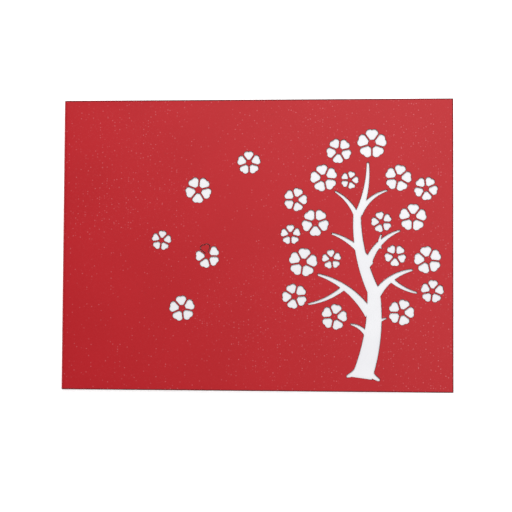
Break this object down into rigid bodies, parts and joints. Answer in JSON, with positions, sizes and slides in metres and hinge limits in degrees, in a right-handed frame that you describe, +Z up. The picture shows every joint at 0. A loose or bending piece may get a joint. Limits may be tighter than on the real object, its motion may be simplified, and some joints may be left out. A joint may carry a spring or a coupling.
{
  "type": "pop up card",
  "caption": "Closed pop-up greeting card of red pearl card with a laser-cut blossom tree over white pages and a slotted paper tree folded flat inside.",
  "frame": {"origin": "centre of the card's underside, on the surface that it lies on", "axes": "+X from the spine to the opening edge, +Y to the top of the card, +Z up, out of the back panel through the front"},
  "size_m": [0.201, 0.1494, 0.0123],
  "materials": {
    "red_pearl_card": "pearl, laser-cut edges",
    "white_page_card": "smooth matt",
    "brown_slice_paper": "matt",
    "pink_slice_paper": "matt"
  },
  "bodies": {
    "root": {"cover": "red_pearl_card", "inner_sheet": "white_page_card", "lower_slice_far": "pink_slice_paper", "lower_slice_trunk": "brown_slice_paper", "lower_slice_near": "pink_slice_paper", "upper_slice_far": "pink_slice_paper", "upper_slice_trunk": "brown_slice_paper", "upper_slice_near": "pink_slice_paper"}
  },
  "joints": []
}
